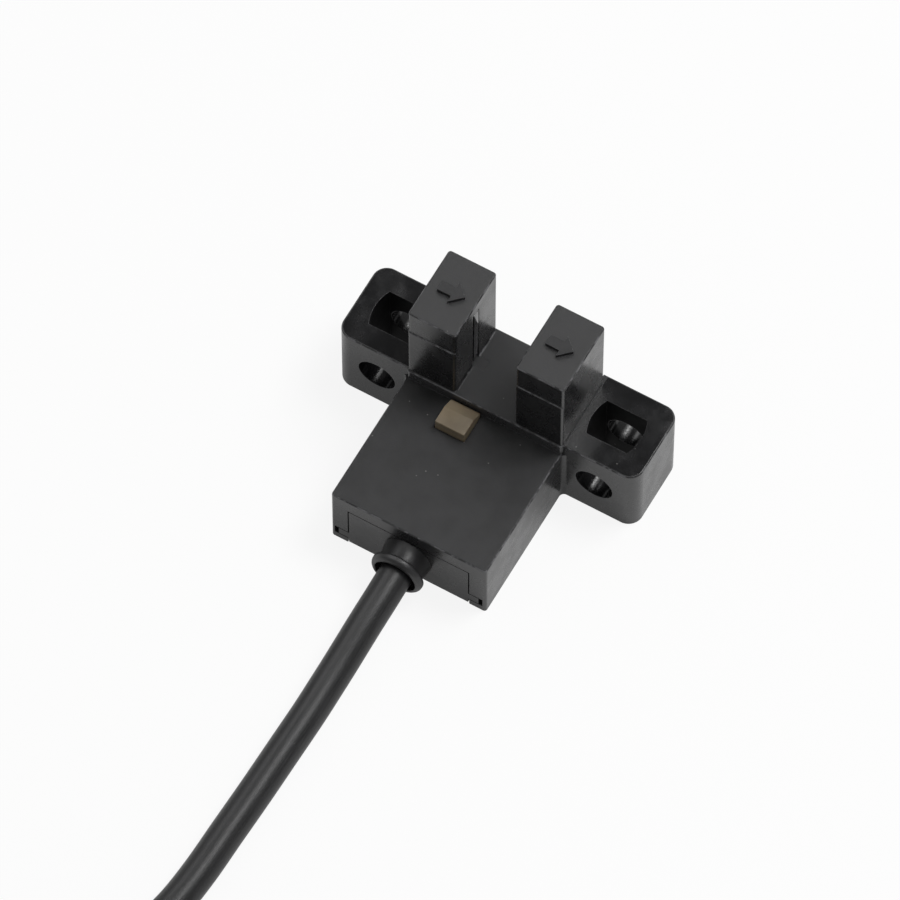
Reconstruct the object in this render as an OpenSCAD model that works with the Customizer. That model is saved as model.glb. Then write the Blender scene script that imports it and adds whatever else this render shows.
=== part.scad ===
// Slot type optical sensor with a T shaped body, two sensing arms and a fixed cable.
// X runs across the ears, Y runs away from the cable, Z is up. Millimetres.
// The origin lies on the base, in the middle, in the plane of the ears' cable side.

/* [Mounting ears] */
// Width across both ears
ears_w = 26.2; // [25:0.1:32]
// Depth of an ear
ear_d = 6.95; // [6.6:0.05:9]
// Height of an ear above the base
ear_h = 7.6; // [7.2:0.1:9]
// Radius of an ear's outer corners
ear_corner_r = 1.2; // [0.6:0.1:1.6]

/* [Fixing holes] */
// Distance between the two fixing holes
hole_pitch = 19; // [18.6:0.1:21]
// Diameter of the round cross holes and width of the long upright holes
hole_d = 3.2; // [2.6:0.1:3.4]
// Length of the upright holes along X
long_hole_l = 4.2; // [3.6:0.1:4.6]
// How far the ends of the upright holes bow outwards
long_hole_bow = 0.35; // [0.2:0.05:0.5]
// Distance of the upright holes from the ears' cable side
hole_y = 3.45; // [3:0.05:3.8]
// Height of the cross holes
cross_hole_z = 3.9; // [3:0.05:4.4]

/* [Sensing slot] */
// Clear width between the arms
slot_w = 5.2; // [4.8:0.1:6]
// Height of the arms above the base
arm_top = 16.3; // [15.8:0.1:19]
// Depth of the arms and of the bridge below them
arm_d = 6.35; // [6:0.05:6.6]
// Height at which the front of an arm steps back
arm_step_z = 13.6; // [12:0.1:14.6]
// How far the arms step back above that height
arm_step = 0.08; // [0.05:0.01:0.15]
// How far the arms' fronts stand out over the ears' cable side
arm_out = 0.07; // [0:0.01:0.1]
// Radius of the fillets along the slot's floor
slot_fillet = 0.15; // [0.1:0.05:0.6]
// Distance of the optical axis from the ears' cable side
beam_y = 3.1; // [2.8:0.05:3.6]
// Distance of the optical axis below the arms' tops
beam_below = 3.9; // [3.5:0.1:4.7]
// Width of the light slits
slit_w = 0.95; // [0.5:0.05:1.2]
// Distance of the light slits' top ends below the arms' tops
slit_below = 1.1; // [0.9:0.1:2]
// Depth at which the slits' windows lie
slit_depth = 0.12; // [0.1:0.02:0.5]

/* [Rear body] */
// Width of the rear body, and across the arms
body_w = 13.5; // [13:0.1:14.2]
// Length of the rear body from the ears' cable side
body_l = 11.75; // [11.4:0.05:15]
// Height of the rear body's deck
deck_z = 6.5; // [6.3:0.05:6.8]
// How far the bridge stands out over the ears' cable side
bridge_lip = 0.2; // [0.15:0.05:0.4]
// Radius of the fillet between the rear body and an ear
neck_fillet = 0.4; // [0.2:0.1:1]
// Thickness of the housing's walls
wall = 0.8; // [0.6:0.05:0.9]
// Radius of the housing's upright edges
side_edge_r = 0.25; // [0.2:0.05:0.4]
// Radius of the housing's top edges
top_edge_r = 0.14; // [0.06:0.02:0.18]

/* [Indicator window] */
// Width of the window
window_w = 2.55; // [2:0.05:3.2]
// Length of the window along Y
window_l = 2.55; // [1.8:0.05:2.8]
// Place of the window's middle along X
window_x = -1.5; // [-2:0.05:0]
// Gap between the window and the bridge
window_gap = 0.12; // [0.08:0.02:0.3]
// Height of the window above the deck
window_rise = 0.95; // [0.4:0.05:1.2]
// Clearance of the window in its hole
window_play = 0.06; // [0.03:0.01:0.1]

/* [Base cover] */
// Thickness of the cover's floor
cover_t = 0.75; // [0.6:0.05:0.8]
// How far the cover sits inside the housing's rim
cover_inset = 0.15; // [0:0.05:0.2]
// Width of the cover's upright end wall
end_wall_w = 10.4; // [9.6:0.1:10.8]
// Height of the top of the end wall
end_wall_top = 4.95; // [4.85:0.05:5.1]
// Clearance round the cover and its end wall
cover_play = 0.1; // [0.05:0.01:0.14]
// Height of the side lugs' lower face
lug_z = 0.75; // [0.7:0.05:0.8]
// Height of the side lugs
lug_h = 0.8; // [0.6:0.05:0.9]

/* [Circuit board] */
// Thickness of the board
board_t = 0.8; // [0.6:0.1:0.8]
// Height of the board's underside
board_z = 1.9; // [1.85:0.05:2]
// Gap between the board and the housing's side walls
board_gap = 0.4; // [0.3:0.05:0.6]
// Distance of the board from the housing's rear wall
board_setback = 2.9; // [2.7:0.1:3.2]
// Radius of the locating pegs
peg_r = 0.4; // [0.3:0.05:0.5]
// Radius of the component leads
lead_r = 0.22; // [0.15:0.01:0.25]
// Distance between the two leads of an arm
lead_pitch = 2.54; // [2:0.01:2.6]

/* [Cable] */
// Diameter of the cable
cable_d = 2.7; // [2.4:0.1:2.7]
// Height of the cable where it leaves the housing
cable_z = 2.9; // [2.8:0.05:2.95]
// Outer radius of the bushing's collar
collar_r = 2.2; // [2.1:0.05:2.3]
// Thickness of the collar
collar_t = 0.65; // [0.4:0.05:0.9]
// Outer radius of the bushing's neck
neck_r = 1.85; // [1.8:0.01:1.9]
// Length of the neck between the rear face and the collar
neck_l = 1.45; // [1:0.05:2]
// Radius of the bushing's open mouth
mouth_r = 1.75; // [1.65:0.01:1.8]
// Depth of the mouth
mouth_depth = 1; // [0.6:0.05:1.3]
// Radius of one insulated core
core_r = 0.35; // [0.25:0.01:0.36]

/* [Cable coil] */
// Radius of the coil at the middle of its turns
coil_r = 16.2; // [14:0.1:18]
// Turns side by side in the coil
coil_columns = 3; // [2:1:4]
// Turns on each other in the coil
coil_layers = 3; // [2:1:4]
// Angle over which the cable's end lies on the coil
tail_angle = 175; // [120:5:180]
// Width of the tie round the coil
tie_w = 2.5; // [2:0.1:4]
// Thickness of the tie
tie_t = 0.5; // [0.4:0.05:0.8]
// Insulated length of the four bare ended cores
free_core_l = 11; // [8:0.5:12]
// Length of their tinned ends
free_tip_l = 5; // [3:0.5:6]

/* [Hidden] */
$fn = 48;
eps = 0.01;
big = 40;

// Housing
half_body = body_w / 2;
half_slot = slot_w / 2;
arm_w = half_body - half_slot;
arm_mid = half_slot + arm_w / 2;
rear_y = -body_l;
cavity_half = half_body - wall;
cavity_front = arm_d - wall;
cavity_rear = rear_y + wall;
deck_under = deck_z - wall;
bridge_under = ear_h - wall;
arm_under = arm_top - wall;
beam_z = arm_top - beam_below;
slit_top = arm_top - slit_below;
ear_in = half_body - side_edge_r - 0.05;
arrow_l = 2.2;
arrow_head_l = 1;
arrow_head_w = 1.9;
arrow_tail_w = 0.85;
arrow_h = 0.35;
// Bow of an upright hole's end, as the radius of its arc
bow_r = (pow(hole_d / 2, 2) + pow(long_hole_bow, 2)) / (2 * long_hole_bow);

// Base cover
cover_floor = cover_inset + cover_t;
cover_half = cavity_half - cover_play;
cover_front = cavity_front - cover_play;
end_wall_half = end_wall_w / 2;
end_wall_in = cavity_rear + 0.2;
notch_out = half_body - 0.3;
lug_out = notch_out - 0.35;
snap_y = [-7.5, 0.5];
snap_l = 2;
snap_z = cover_floor + 0.35;
snap_rise = 0.45;
snap_out = 0.3;
tab_t = 0.5;

// Circuit board
board_top = board_z + board_t;
board_rear = cavity_rear + board_setback;
board_front = cover_front - 0.25;
board_half = cavity_half - board_gap;
peg_x = board_half - 0.9;
peg_y = board_rear + 1;
peg_play = 0.06;
hold_y = -4.2;
hold_w = 0.8;
lead_mid_y = beam_y;
lead_play = 0.06;
chip_row = board_rear + 3.1;
amplifier_row = board_rear + 5.4;
amplifier_in = 3.1;
amplifier_at = [board_half - amplifier_in, amplifier_row];
amplifier_w = 1.6;
transistor_in = 2.4;
transistor_at = [transistor_in - board_half, chip_row];
transistor_w = 1.3;
diode_at = [0.45, chip_row];
diode_w = 1.3;
chip_l = 2.9;
diode_l = 1.8;
leg_w = 0.4;
leg_t = 0.14;
leg_rise = 0.4;
leg_reach = 0.75;
leg_gap = 0.95;
joint_h = 0.45;
joint_r = 0.55;
resistor = [0.8, 1.6, 0.45];
resistor_at = [[-2.6, 1.2], [-1, 1.2], [0.6, 1.2], [2.2, 1.2], [-1.6, 3.4]];
capacitor = [2, 1.25, 1];
capacitor_at = [1.2, 3.6];
lamp_base = [2, 1.24, 0.3];
lamp_dome = [1.2, 1.1];

// Windows
window_y1 = -bridge_lip - window_gap;
window_y0 = window_y1 - window_l;
window_top = deck_z + window_rise;
lamp_h = 0.6;
lamp_top = board_top + lamp_h;
light_gap = 0.15;
slit_floor = half_slot + slit_depth;
pane_in = half_slot + wall + 0.03;
pane_t = 0.25;
pane_half = 1.9;
pane_z = ear_h + 0.25;
pane_top = arm_under - 0.05;

// Light parts in the arms
lens_x = pane_in + pane_t + 0.05;
package_x = lens_x + 0.45;
package_out = cavity_half - 0.1;
package_half = 1.85;
package_h = 5.2;
package_below = 2.4;
package_z = beam_z - package_below;

// Cable and bushing
cable_r = cable_d / 2;
collar_y = rear_y - neck_l;
mouth_y = collar_y - collar_t;
cable_start_y = mouth_y + mouth_depth;
flange_t = 0.7;
flange_y = end_wall_in + 0.03;
inner_end_y = flange_y + flange_t + 1.05;
clamp_t = 0.7;
bore_play = 0.02;
core_off = 0.5;
pad_y = board_rear + 1.15;
pad_x = [-2, -0.65, 0.65, 2];
core_lift = 0.02;

// Points of the cable's middle from the bushing to the coil
route = [
  [0, cable_start_y, cable_z], [0, -14.4, 2.9], [0, -16, 2.8], [-0.05, -18, 2.55],
  [-0.1, -20, 2.2], [-0.15, -22, 1.85], [-0.2, -24, 1.6], [-0.25, -26.5, 1.4],
  [-0.35, -30, 1.35], [-0.45, -34, 1.35], [-0.6, -38, 1.35], [-0.75, -42, 1.35],
  [-1.15, -45.5, 1.35], [-2.1, -49, 1.35], [-3.4, -52.5, 1.35], [-4.6, -56, 1.35],
  [-4.95, -60, 1.35], [-4.9, -63.5, 1.35], [-4.9, -66.2, 1.35]
];
coil_centre = [14, -66.2];
coil_in = coil_r - coil_columns * cable_d / 2;
coil_out = coil_r + coil_columns * cable_d / 2;
coil_h = coil_layers * cable_d;
tail_z = coil_h + cable_r;
// Direction from the coil's middle in which its end lies
tail_end = 270;
tie_play = 0.03;
notch_play = 0.35;
tie_in = sqrt(pow(coil_in, 2) - pow(tie_w / 2, 2)) - tie_play;

function unit(v) = v / norm(v);
function cross_frame(d) = let (s = unit(cross(d, [0, 0, 1]))) [s, unit(cross(s, d))];
// The two ends of a swept tube are cut square to Y
function end_dir(p) = [0, sign(p[len(p) - 1][1] - p[0][1]), 0];
function direction(p, i) = i == 0 || i == len(p) - 1 ? end_dir(p) : unit(p[i + 1] - p[i - 1]);
function ring(p, i, r, n) = let (f = cross_frame(direction(p, i)))
  [for (k = [0 : n - 1]) p[i] + r * (cos(360 * k / n) * f[0] + sin(360 * k / n) * f[1])];

// Block with rounded upright edges of radius r and rounded top edges of radius e
module soft_block(x0, x1, y0, y1, z0, z1, r, e) {
  h = z1 - z0;
  for (x = [x0 + r, x1 - r], y = [y0 + r, y1 - r])
    translate([x, y, z0])
      rotate_extrude()
        intersection() {
          square([r, h]);
          soft_edge_section(-r, r, h, e);
        }
  translate([x0 + r, 0, z0])
    rotate([90, 0, 90])
      linear_extrude(x1 - x0 - 2 * r)
        soft_edge_section(y0, y1, h, e);
  translate([0, y1 - r, z0])
    rotate([90, 0, 0])
      linear_extrude(y1 - y0 - 2 * r)
        soft_edge_section(x0, x1, h, e);
}

// Outline from a to b and up to h, with its two top corners rounded
module soft_edge_section(a, b, h, e) {
  translate([a, 0])
    square([b - a, h - e]);
  translate([a + e, 0])
    square([b - a - 2 * e, h]);
  for (x = [a + e, b - e])
    translate([x, h - e])
      circle(e, $fn = 20);
}

// Straight fillet in a corner, running along Z
module corner_fillet(r, h) {
  difference() {
    translate([-eps, -eps, 0])
      cube([r + eps, r + eps, h]);
    translate([r, r, -1])
      cylinder(h = h + 2, r = r);
  }
}

// Cube from one corner to the opposite one
module span(a, b) {
  translate(a)
    cube(b - a);
}

// The same shape on both sides of the middle plane
module both_sides() {
  children();
  mirror([1, 0, 0])
    children();
}

// Tube swept along a list of points
module swept_tube(points, r, sides) {
  last = len(points) - 1;
  polyhedron(
    points = [for (i = [0 : last]) each ring(points, i, r, sides)],
    faces = [
      [for (k = [0 : sides - 1]) k],
      [for (k = [sides - 1 : -1 : 0]) last * sides + k],
      for (i = [0 : last - 1], k = [0 : sides - 1])
        [i * sides + k, (i + 1) * sides + k, (i + 1) * sides + (k + 1) % sides,
          i * sides + (k + 1) % sides]
    ]
  );
}

// Outline of a long upright hole: straight sides and bowed ends
module long_hole_outline() {
  flat = long_hole_l - 2 * long_hole_bow;
  square([flat, hole_d], center = true);
  for (side = [-1, 1])
    intersection() {
      translate([side * (long_hole_l / 2 - bow_r), 0])
        circle(bow_r, $fn = 96);
      translate([side * flat / 2, 0])
        square([2 * long_hole_bow + 0.2, hole_d], center = true);
    }
}

module fixing_holes() {
  both_sides() {
    translate([hole_pitch / 2, hole_y, -1])
      linear_extrude(ear_h + 2)
        long_hole_outline();
    translate([hole_pitch / 2, ear_d + 1, cross_hole_z])
      rotate([90, 0, 0])
        cylinder(h = ear_d + 2, d = hole_d);
  }
}

module arrow() {
  polygon([
    [-arrow_l / 2, -arrow_tail_w / 2], [arrow_l / 2 - arrow_head_l, -arrow_tail_w / 2],
    [arrow_l / 2 - arrow_head_l, -arrow_head_w / 2], [arrow_l / 2, 0],
    [arrow_l / 2 - arrow_head_l, arrow_head_w / 2], [arrow_l / 2 - arrow_head_l, arrow_tail_w / 2],
    [-arrow_l / 2, arrow_tail_w / 2]
  ]);
}

module arm() {
  low = ear_h - 1;
  front = -arm_out;
  soft_block(half_slot, half_body, front, arm_d, low, arm_step_z, side_edge_r, top_edge_r);
  soft_block(half_slot, half_body, front + arm_step, arm_d, low, arm_top, side_edge_r, top_edge_r);
}

module housing_outside() {
  both_sides() {
    difference() {
      soft_block(ear_in - 2 * ear_corner_r, ears_w / 2, 0, ear_d, 0, ear_h, ear_corner_r, top_edge_r);
      span([0, -1, -1], [ear_in, ear_d + 1, ear_h + 1]);
    }
    arm();
    translate([half_body, 0, 0])
      mirror([0, 1, 0])
        corner_fillet(neck_fillet, deck_z - top_edge_r);
    translate([half_slot, side_edge_r, ear_h])
      rotate([-90, 0, 0])
        rotate([0, 0, 180])
          corner_fillet(slot_fillet, arm_d - 2 * side_edge_r);
  }
  soft_block(-half_body, half_body, -bridge_lip, arm_d, 0, ear_h, side_edge_r, top_edge_r);
  soft_block(-half_body, half_body, rear_y, side_edge_r + 0.5, 0, deck_z, side_edge_r, top_edge_r);
  for (x = [-arm_mid, arm_mid])
    translate([x, arm_d / 2, arm_top - eps])
      linear_extrude(arrow_h + eps)
        arrow();
}

module housing_inside() {
  span([-cavity_half, cavity_rear, -1], [cavity_half, cavity_front, deck_under]);
  span([-cavity_half, wall - bridge_lip, 0], [cavity_half, cavity_front, bridge_under]);
  both_sides()
    span([half_slot + wall, wall, 0], [cavity_half, cavity_front, arm_under]);
}

// Opening for the cover's end wall, with a notch for a lug at each lower corner
module end_wall_opening(play) {
  top = end_wall_top + play;
  half = end_wall_half + play;
  span([-half, rear_y - 1, -1], [half, cavity_rear + 1, top]);
  both_sides()
    span([0, rear_y - 1, lug_z - play], [notch_out, cavity_rear, lug_z + lug_h + play]);
}

module snap_pockets() {
  both_sides()
    for (y = snap_y)
      translate([cavity_half - 0.05, y - snap_l / 2 - 0.05, snap_z - 0.05])
        cube([snap_out + 0.1, snap_l + 0.1, snap_rise + 0.1]);
}

module housing() {
  color([0.16, 0.16, 0.17])
    union() {
      difference() {
        housing_outside();
        housing_inside();
        fixing_holes();
        end_wall_opening(cover_play);
        snap_pockets();
        span([window_x - window_w / 2 - window_play, window_y0 - window_play, 0],
          [window_x + window_w / 2 + window_play, window_y1 + window_play, deck_z + 1]);
        for (x = [-half_slot - wall - 1, half_slot - 1])
          span([x, beam_y - slit_w / 2, ear_h - eps],
            [x + wall + 2, beam_y + slit_w / 2, slit_top]);
      }
      both_sides()
        span([cavity_half - 1.1, hold_y - hold_w / 2, board_top],
          [cavity_half + eps, hold_y + hold_w / 2, deck_under + eps]);
    }
}

module snap_tab() {
  span([cover_half - tab_t, -snap_l / 2, cover_inset], [cover_half, snap_l / 2, snap_z + snap_rise]);
  translate([cover_half - eps, snap_l / 2, snap_z])
    rotate([90, 0, 0])
      linear_extrude(snap_l)
        polygon([[0, 0], [snap_out, 0], [snap_out, 0.15], [0, snap_rise]]);
}

module base_cover() {
  color([0.15, 0.15, 0.16])
    difference() {
      union() {
        span([-cover_half, cavity_rear + cover_play, cover_inset],
          [cover_half, cover_front, cover_floor]);
        span([-end_wall_half, rear_y, cover_inset], [end_wall_half, end_wall_in, end_wall_top]);
        both_sides() {
          span([end_wall_half - 1, rear_y, lug_z], [lug_out, cavity_rear - 0.1, lug_z + lug_h]);
          for (y = snap_y)
            translate([0, y, 0])
              snap_tab();
          span([peg_x - 0.9, peg_y - 0.9, cover_floor - eps], [peg_x + 0.9, peg_y + 0.9, board_z]);
          translate([peg_x, peg_y, board_z - 0.5])
            cylinder(h = board_t + 0.7, r = peg_r);
          span([peg_x - 0.4, hold_y - hold_w, cover_floor - eps],
            [peg_x + 0.4, hold_y + hold_w, board_z]);
        }
        span([-1.2, board_front - 0.8, cover_floor - eps], [1.2, board_front - 0.1, board_z]);
      }
      translate([0, rear_y - 1, cable_z])
        rotate([-90, 0, 0])
          cylinder(h = wall + 2, r = neck_r + 0.03);
    }
}

module indicator_window() {
  x0 = window_x - window_w / 2;
  foot = lamp_top + light_gap;
  slope_y = window_y1 - 1.05;
  slope_z = window_top - 0.6;
  color([0.72, 0.66, 0.56])
    union() {
      translate([x0, 0, 0])
        rotate([90, 0, 90])
          linear_extrude(window_w)
            polygon([
              [window_y0, foot], [window_y1, foot], [window_y1, slope_z], [slope_y, window_top],
              [window_y0 + 0.08, window_top], [window_y0, window_top - 0.08]
            ]);
      span([x0 - 0.35, window_y0 - 0.35, deck_under - 0.5],
        [x0 + window_w + 0.35, window_y1 + 0.1, deck_under]);
    }
}

// Dark pane behind a light slit, with a rib that fills the slit
module slit_pane() {
  rib = slit_w / 2 - 0.03;
  span([pane_in, beam_y - pane_half, pane_z], [pane_in + pane_t, beam_y + pane_half, pane_top]);
  span([slit_floor, beam_y - rib, pane_z], [pane_in + eps, beam_y + rib, slit_top - 0.03]);
}

module emitter_window() {
  color([0.13, 0.09, 0.12])
    mirror([1, 0, 0])
      slit_pane();
}

module receiver_window() {
  color([0.13, 0.09, 0.12])
    slit_pane();
}

module board_holes() {
  both_sides() {
    translate([peg_x, peg_y, 0])
      cylinder(h = big, r = peg_r + peg_play);
    for (side = [-1, 1])
      translate([arm_mid, lead_mid_y + side * lead_pitch / 2, 0])
        cylinder(h = big, r = lead_r + lead_play);
  }
}

module circuit_board() {
  color([0.1, 0.35, 0.2])
    difference() {
      span([-board_half, board_rear, board_z], [board_half, board_front, board_top]);
      board_holes();
    }
}

// Side looking package with a lens towards the slot
module light_package() {
  difference() {
    union() {
      span([package_x, beam_y - package_half, package_z],
        [package_out, beam_y + package_half, package_z + package_h]);
      intersection() {
        translate([package_x + 0.55, beam_y, beam_z])
          sphere(1);
        span([lens_x, beam_y - 1, beam_z - 1], [package_x + 0.1, beam_y + 1, beam_z + 1]);
      }
    }
    span([package_x + 0.7, beam_y - big, package_z - 1], [package_out + 1, beam_y - package_half + 0.3, big]);
  }
}

module light_leads() {
  for (side = [-1, 1])
    translate([arm_mid, lead_mid_y + side * lead_pitch / 2, board_z - 0.55])
      cylinder(h = package_z - board_z + 0.55, r = lead_r, $fn = 24);
}

module emitter_led() {
  color([0.75, 0.78, 0.85])
    mirror([1, 0, 0])
      light_package();
}

module emitter_leads() {
  color([0.78, 0.78, 0.76])
    mirror([1, 0, 0])
      light_leads();
}

module receiver_chip() {
  color([0.12, 0.1, 0.12])
    light_package();
}

module receiver_leads() {
  color([0.78, 0.78, 0.76])
    light_leads();
}

module solder_joints() {
  color([0.72, 0.73, 0.74]) {
    both_sides()
      for (side = [-1, 1])
        translate([arm_mid, lead_mid_y + side * lead_pitch / 2, board_z - joint_h])
          difference() {
            cylinder(h = joint_h, r1 = 0.3, r2 = joint_r, $fn = 24);
            translate([0, 0, -1])
              cylinder(h = joint_h + 2, r = lead_r + 0.005, $fn = 24);
          }
    for (x = pad_x)
      translate([x, pad_y, board_top])
        cylinder(h = joint_h - 0.03, r1 = 0.42, r2 = 0.3, $fn = 24);
  }
}

module indicator_lamp() {
  color([0.9, 0.88, 0.8])
    translate([window_x, (window_y0 + window_y1) / 2, board_top]) {
      translate([-lamp_base[0] / 2, -lamp_base[1] / 2, 0])
        cube(lamp_base);
      translate([-lamp_dome[0] / 2, -lamp_dome[1] / 2, lamp_base[2] - eps])
        cube([lamp_dome[0], lamp_dome[1], lamp_h - lamp_base[2]]);
    }
}

// Moulded chip body with slanting sides
module chip_body(w, d, h) {
  translate([0, d / 2, 0])
    rotate([90, 0, 0])
      linear_extrude(d)
        polygon([
          [-w / 2, h * 0.45], [-w / 2 + 0.1, 0.05], [w / 2 - 0.1, 0.05], [w / 2, h * 0.45],
          [w / 2 - 0.12, h], [-w / 2 + 0.12, h]
        ]);
}

module amplifier_chip() {
  color([0.1, 0.1, 0.1])
    translate([amplifier_at[0], amplifier_at[1], board_top])
      chip_body(amplifier_w, chip_l, 1.05);
}

module output_transistor() {
  color([0.1, 0.1, 0.1])
    translate([transistor_at[0], transistor_at[1], board_top])
      chip_body(transistor_w, chip_l, 1);
}

module surge_diode() {
  color([0.12, 0.12, 0.12])
    translate([diode_at[0], diode_at[1], board_top])
      chip_body(diode_w, diode_l, 0.9);
}

// Bent leg of a chip, reaching outwards from its side
module chip_leg() {
  knee = leg_reach * 0.4;
  translate([0, leg_w / 2, 0])
    rotate([90, 0, 0])
      linear_extrude(leg_w)
        polygon([
          [0, leg_rise], [knee, leg_rise], [knee + 0.08, 0], [leg_reach, 0],
          [leg_reach, leg_t], [knee + 0.16, leg_t], [knee + 0.1, leg_rise + leg_t],
          [0, leg_rise + leg_t]
        ]);
}

// Legs on both sides of a chip of width w, at the places left and right along Y
module leg_rows(at, w, left, right) {
  for (y = right)
    translate([at[0] + w / 2, at[1] + y, board_top])
      chip_leg();
  for (y = left)
    translate([at[0] - w / 2, at[1] + y, board_top])
      mirror([1, 0, 0])
        chip_leg();
}

module chip_legs() {
  color([0.75, 0.75, 0.74]) {
    leg_rows(amplifier_at, amplifier_w, [-leg_gap, leg_gap], [-leg_gap, 0, leg_gap]);
    leg_rows(transistor_at, transistor_w, [-leg_gap, leg_gap], [0]);
    leg_rows(diode_at, diode_w, [0], [0]);
  }
}

module chip_resistors() {
  color([0.2, 0.2, 0.22])
    for (p = resistor_at)
      translate([p[0] - resistor[0] / 2, p[1] - resistor[1] / 2, board_top])
        cube(resistor);
}

module bypass_capacitor() {
  color([0.6, 0.45, 0.3])
    translate([capacitor_at[0] - capacitor[0] / 2, capacitor_at[1] - capacitor[1] / 2, board_top])
      cube(capacitor);
}

// Along the cable where it leaves the housing, from one place on Y to another
module along_cable(y0, y1, r) {
  translate([0, y0, cable_z])
    rotate([-90, 0, 0])
      cylinder(h = y1 - y0, r = r);
}

module cable_bushing() {
  round = 0.25;
  color([0.1, 0.1, 0.1])
    difference() {
      union() {
        along_cable(collar_y - eps, flange_y + eps, neck_r);
        along_cable(flange_y, flange_y + flange_t, neck_r + 0.15);
        translate([0, collar_y, cable_z])
          rotate([90, 0, 0])
            rotate_extrude() {
              square([collar_r - round, collar_t]);
              square([collar_r, collar_t - round]);
              translate([collar_r - round, collar_t - round])
                circle(round, $fn = 24);
            }
      }
      along_cable(mouth_y - 1, flange_y + flange_t + 1, cable_r + bore_play);
      along_cable(mouth_y - 1, cable_start_y, mouth_r);
    }
}

module cable_inner_end() {
  color([0.08, 0.08, 0.08])
    along_cable(cable_start_y, inner_end_y, cable_r);
}

module cable_clamp() {
  color([0.7, 0.7, 0.68])
    difference() {
      along_cable(flange_y + flange_t, flange_y + flange_t + clamp_t, cable_r + 0.3);
      along_cable(flange_y, inner_end_y + 1, cable_r + 0.01);
    }
}

// Core from the end of the jacket to its pad on the board
module inner_core(x, z, pad) {
  level = board_top + core_r + core_lift;
  swept_tube([
    [x, inner_end_y, cable_z + z], [x, inner_end_y + 0.15, cable_z + z],
    [pad, board_rear - 0.15, level], [pad, pad_y - 0.45, level]
  ], core_r, 16);
}

module core_brown() {
  color([0.35, 0.2, 0.1])
    inner_core(-core_off, -core_off, pad_x[0]);
}

module core_black() {
  color([0.06, 0.06, 0.06])
    inner_core(-core_off, core_off, pad_x[1]);
}

module core_white() {
  color([0.9, 0.9, 0.88])
    inner_core(core_off, core_off, pad_x[2]);
}

module core_blue() {
  color([0.1, 0.25, 0.6])
    inner_core(core_off, -core_off, pad_x[3]);
}

module cable_run() {
  color([0.08, 0.08, 0.08])
    swept_tube(route, cable_r, 8);
}

module coil_section() {
  r = cable_r;
  translate([coil_in, r])
    square([coil_out - coil_in, coil_h - 2 * r]);
  translate([coil_in + r, 0])
    square([coil_out - coil_in - 2 * r, coil_h]);
  for (x = [coil_in + r, coil_out - r], z = [r, coil_h - r])
    translate([x, z])
      circle(r);
}

// Outer shape of the coil. The cable enters a notch in its outermost lowest turn
module cable_coil() {
  lift = tie_t;
  entry_y = route[len(route) - 1][1] - coil_centre[1];
  color([0.08, 0.08, 0.08])
    translate([coil_centre[0], coil_centre[1], 0])
      difference() {
        union() {
          rotate_extrude($fn = 96)
            coil_section();
          intersection() {
            span([coil_in + cable_r, -tie_w, coil_h - cable_d], [coil_out - cable_r, tie_w, coil_h + lift]);
            cylinder(h = big, r = coil_out);
          }
        }
        span([coil_in - 1, -tie_w / 2 - 0.1, -1], [coil_out + 1, tie_w / 2 + 0.1, lift]);
        span([-coil_out - 1, entry_y, -1],
          [-coil_out + cable_d + notch_play, entry_y + coil_r, cable_d + notch_play]);
      }
}

module cable_tail() {
  color([0.08, 0.08, 0.08])
    translate([coil_centre[0], coil_centre[1], 0])
      rotate([0, 0, tail_end - tail_angle])
        rotate_extrude(angle = tail_angle, $fn = 96)
          translate([coil_r, tail_z])
            circle(cable_r);
}

module coil_tie() {
  y = tie_w / 2;
  z0 = tie_play;
  z1 = coil_h + tie_t + tie_play;
  color([0.12, 0.12, 0.12])
    translate([coil_centre[0], coil_centre[1], 0])
      difference() {
        union() {
          span([tie_in - tie_t, -y, z0], [coil_out + tie_play + tie_t, y, z1 + tie_t]);
          span([coil_r - 2, -y - 0.4, z1 + tie_t - eps], [coil_r + 2, y + 0.4, z1 + tie_t + 1.4]);
        }
        span([tie_in, -big, z0 + tie_t - 0.06], [coil_out + tie_play, big, z1]);
      }
}

// Bare ended core at the far end of the cable, running on from the tail
module free_core(x, z) {
  translate([coil_centre[0], coil_centre[1], 0])
    rotate([0, 0, tail_end])
      translate([coil_r + x, 0, tail_z + z])
        rotate([-90, 0, 0]) {
          cylinder(h = free_core_l, r = core_r, $fn = 24);
          translate([0, 0, free_core_l - eps])
            cylinder(h = free_tip_l, r = core_r * 0.6, $fn = 24);
        }
}

module lead_brown() {
  color([0.35, 0.2, 0.1])
    free_core(-core_off, -core_off);
}

module lead_black() {
  color([0.06, 0.06, 0.06])
    free_core(-core_off, core_off);
}

module lead_white() {
  color([0.9, 0.9, 0.88])
    free_core(core_off, core_off);
}

module lead_blue() {
  color([0.1, 0.25, 0.6])
    free_core(core_off, -core_off);
}

housing();
base_cover();
indicator_window();
emitter_window();
receiver_window();
circuit_board();
emitter_led();
emitter_leads();
receiver_chip();
receiver_leads();
solder_joints();
indicator_lamp();
amplifier_chip();
output_transistor();
chip_legs();
chip_resistors();
bypass_capacitor();
surge_diode();
cable_bushing();
cable_inner_end();
cable_clamp();
core_brown();
core_black();
core_white();
core_blue();
cable_run();
cable_coil();
cable_tail();
coil_tie();
lead_brown();
lead_black();
lead_white();
lead_blue();
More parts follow.
